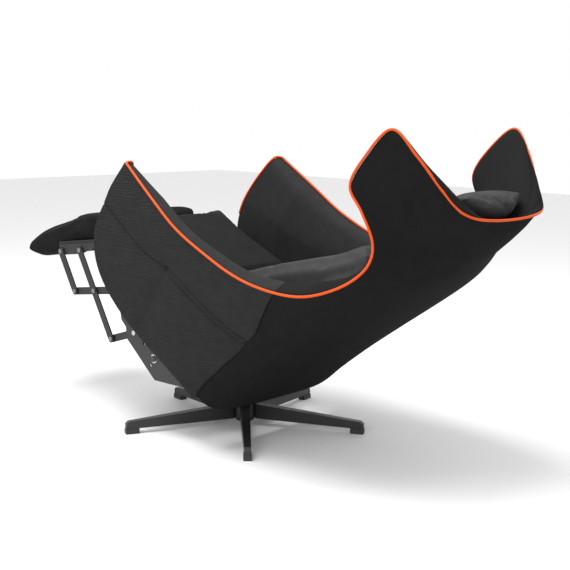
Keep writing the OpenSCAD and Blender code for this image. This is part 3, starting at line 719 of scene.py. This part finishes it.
def plump(name, node, voxel, shrink, soften, pressure, cap):
    """A stuffed piece grown from a CAD solid: shrink it, remesh it, round it, blow it up as cloth, and cap
    how far a point may move."""
    obj = bpy.data.objects.new(name, nodes[node].data.copy())
    bpy.context.scene.collection.objects.link(obj)
    obj.data.materials.clear()
    points = coordinates(obj.data)
    middle = (points.min(0) + points.max(0)) / 2
    move_to(obj.data, middle + (points - middle) * np.array(shrink))
    remesh = obj.modifiers.new("remesh", "REMESH")
    remesh.mode = "VOXEL"
    remesh.voxel_size = voxel
    rounding = obj.modifiers.new("rounding", "SMOOTH")
    rounding.factor = 0.5
    rounding.iterations = soften
    start = coordinates(baked(obj))
    cloth = obj.modifiers.new("cloth", "CLOTH")
    cloth.settings.quality = 5
    cloth.settings.mass = 0.3
    cloth.settings.use_pressure = True
    cloth.settings.uniform_pressure_force = pressure
    cloth.settings.tension_stiffness = 15
    cloth.settings.compression_stiffness = 15
    cloth.settings.bending_stiffness = 0.5
    cloth.settings.effector_weights.gravity = 0
    cloth.collision_settings.use_collision = False
    cloth.point_cache.frame_start = 1
    cloth.point_cache.frame_end = CLOTH_FRAMES
    for step in range(1, CLOTH_FRAMES + 1):
        bpy.context.scene.frame_set(step)
    blown = coordinates(baked(obj))
    moved = blown - start
    distance = np.linalg.norm(moved, axis=1, keepdims=True)
    start = start + moved * np.minimum(1, cap / np.maximum(distance, 1e-9))
    bpy.context.scene.frame_set(1)
    move_to(obj.data, start)
    obj.data.polygons.foreach_set("use_smooth", np.ones(len(obj.data.polygons), bool))
    return obj


def finish_pad(obj, material, node, body):
    """One subdivision, the fabric, and the piece's place on the chair."""
    finer = obj.modifiers.new("finer", "SUBSURF")
    finer.levels = finer.render_levels = 1
    obj.data.materials.clear()
    obj.data.materials.append(material)
    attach(obj, body)
    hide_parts(node)


def seat_lines(points):
    """Distance back along the seat, and depth below its top face, of each point."""
    y, z = points[:, 1] - SEAT_FRONT[0], points[:, 2] - SEAT_FRONT[1]
    c, s = math.cos(SEAT_SLOPE), math.sin(SEAT_SLOPE)
    return y * c - z * s, -y * s - z * c


# The same cloth as the back cushion, coloured darker: painted shade on the seat.
seat_fabric_shaded = fabric(
    "seat_fabric_shaded", (0.010, 0.010, 0.0103, 1), (0.015, 0.015, 0.0154, 1), 0.9, 0.01, 0.04)[0]
seat_cushion = plump("seat_cushion_cover", "seat_cushion", 0.006, (0.94, 0.97, 0.94), 8, 4, 0.022)
seat_points = coordinates(seat_cushion.data)
seat_back, seat_down = seat_lines(seat_points)
seat_normals = point_normals(seat_cushion.data)
# The sewn line is 30 mm below the top face, and only where the surface doesn't face up.
SEWN_DEPTH = 0.030
seat_face = np.array([0, -math.sin(SEAT_SLOPE), math.cos(SEAT_SLOPE)])
edge_side = 1 - ease((seat_normals @ seat_face - 0.75) / 0.2)
seat_points += seat_normals * (groove(seat_down - SEWN_DEPTH, 0.0035, 0.006) * edge_side)[:, None]
move_to(seat_cushion.data, seat_points)
finish_pad(seat_cushion, seat_fabric_shaded, "seat_cushion", "seat_shell")

# ---------------------------------------------------------------------------
# Back cushion. A long soft pad laid in the back from the seat to the neck,
# with two stitched channels across it that let it bend.

# The same cloth as the seat cushion, coloured lighter: painted light on the back cushion and head pillow.
back_fabric_lit = fabric(
    "back_fabric_lit", (0.030, 0.030, 0.0308, 1), (0.040, 0.040, 0.041, 1), 0.9, 0.02, 0.05)[0]
back_cushion = plump("back_cushion_cover", "back_cushion", 0.007, (0.95, 0.98, 0.90), 8, 4, 0.020)
back_points = coordinates(back_cushion.data)
back_normals = point_normals(back_cushion.data)
facing_up = ease((back_normals[:, 2] - 0.3) / 0.4)
CHANNEL_PLACES = (0.235, 0.425)
from_swivel = back_points[:, 1] + SWIVEL_TO_MIDDLE
channels = sum(groove(from_swivel - place, 0.006, 0.012) for place in CHANNEL_PLACES)
back_points += back_normals * (channels * facing_up)[:, None]
move_to(back_cushion.data, back_points)
finish_pad(back_cushion, back_fabric_lit, "back_cushion", "seat_shell")

# ---------------------------------------------------------------------------
# Head pillow. A wedge of soft filling in plain fabric, narrow at the rear,
# that sits down between the wings against the lining.

head_pillow = plump("head_pillow_cover", "head_pillow", 0.005, (0.94, 0.97, 0.97), 10, 4, 0.014)
# The pillow takes the back cushion's lighter colour: painted light.
finish_pad(head_pillow, back_fabric_lit, "head_pillow", "seat_shell")

# ---------------------------------------------------------------------------
# Footrest pad. Foam over a wrapped plywood board, thick towards the chair and
# thin at the nose, with a plain cover drawn tight over both; its dark colour is made darker still as painted
# shade.

pad_fabric_shaded = fabric(
    "pad_fabric_shaded", (0.007, 0.007, 0.0072, 1), (0.011, 0.011, 0.0113, 1), 0.9, 0.01, 0.04)[0]
footrest_pad = plump("footrest_pad_cover", "footrest_pad", 0.006, (0.98, 1.0, 0.98), 10, 4, 0.010)
finish_pad(footrest_pad, pad_fabric_shaded, "footrest_pad", "footrest")

# ---------------------------------------------------------------------------
# Room. A plain pale floor, a pale surround and soft lamps overhead.
# The camera stands behind the chair on the sitter's left, a little above it.

floor_mesh = bpy.data.meshes.new("floor")
floor_mesh.from_pydata([(-9, -9, 0), (9, -9, 0), (9, 9, 0), (-9, 9, 0)], [], [(0, 1, 2, 3)])
floor = bpy.data.objects.new("floor", floor_mesh)
bpy.context.scene.collection.objects.link(floor)
floor_finish, _, _, floor_shader = new_finish("pale_floor")
floor_shader.inputs["Base Color"].default_value = (0.80, 0.80, 0.80, 1)
floor_shader.inputs["Roughness"].default_value = 0.7
floor_mesh.materials.append(floor_finish)

world = bpy.data.worlds.new("surround")
world.use_nodes = True
world.node_tree.nodes["Background"].inputs["Color"].default_value = (1, 1, 1, 1)
world.node_tree.nodes["Background"].inputs["Strength"].default_value = 1.0
bpy.context.scene.world = world
bpy.context.scene.view_settings.view_transform = "Standard"


def lamp(name, place, aim, width, power):
    """A square soft lamp at a place, turned to an aim."""
    light = bpy.data.lights.new(name, "AREA")
    light.shape = "SQUARE"
    light.size = width
    light.energy = power
    obj = bpy.data.objects.new(name, light)
    obj.location = place
    obj.rotation_euler = (Vector(aim) - Vector(place)).to_track_quat("-Z", "Y").to_euler()
    bpy.context.scene.collection.objects.link(obj)


lamp("overhead", (0.6, -0.2, 3.1), (0, 0, 0.4), 2.0, 130)
lamp("side", (3.0, 1.0, 1.7), (0, 0.2, 0.5), 1.8, 35)

camera_data = bpy.data.cameras.new("camera")
camera_data.lens = 69.35
camera_data.sensor_width = 36
camera = bpy.data.objects.new("camera", camera_data)
looking = Vector((-0.7455, -0.6469, -0.1602)).normalized()
level = looking.cross(Vector((0, 0, 1))).normalized()
upward = level.cross(looking)
ROLL = math.radians(1.04)
CAMERA_PLACE = Vector((2.2526, 2.1005 - SWIVEL_TO_MIDDLE, 0.906))
right = level * math.cos(ROLL) + upward * math.sin(ROLL)
upward = right.cross(looking)
camera.matrix_world = Matrix((
    (right.x, upward.x, -looking.x, CAMERA_PLACE.x), (right.y, upward.y, -looking.y, CAMERA_PLACE.y),
    (right.z, upward.z, -looking.z, CAMERA_PLACE.z), (0, 0, 0, 1)))
bpy.context.scene.collection.objects.link(camera)
bpy.context.scene.camera = camera
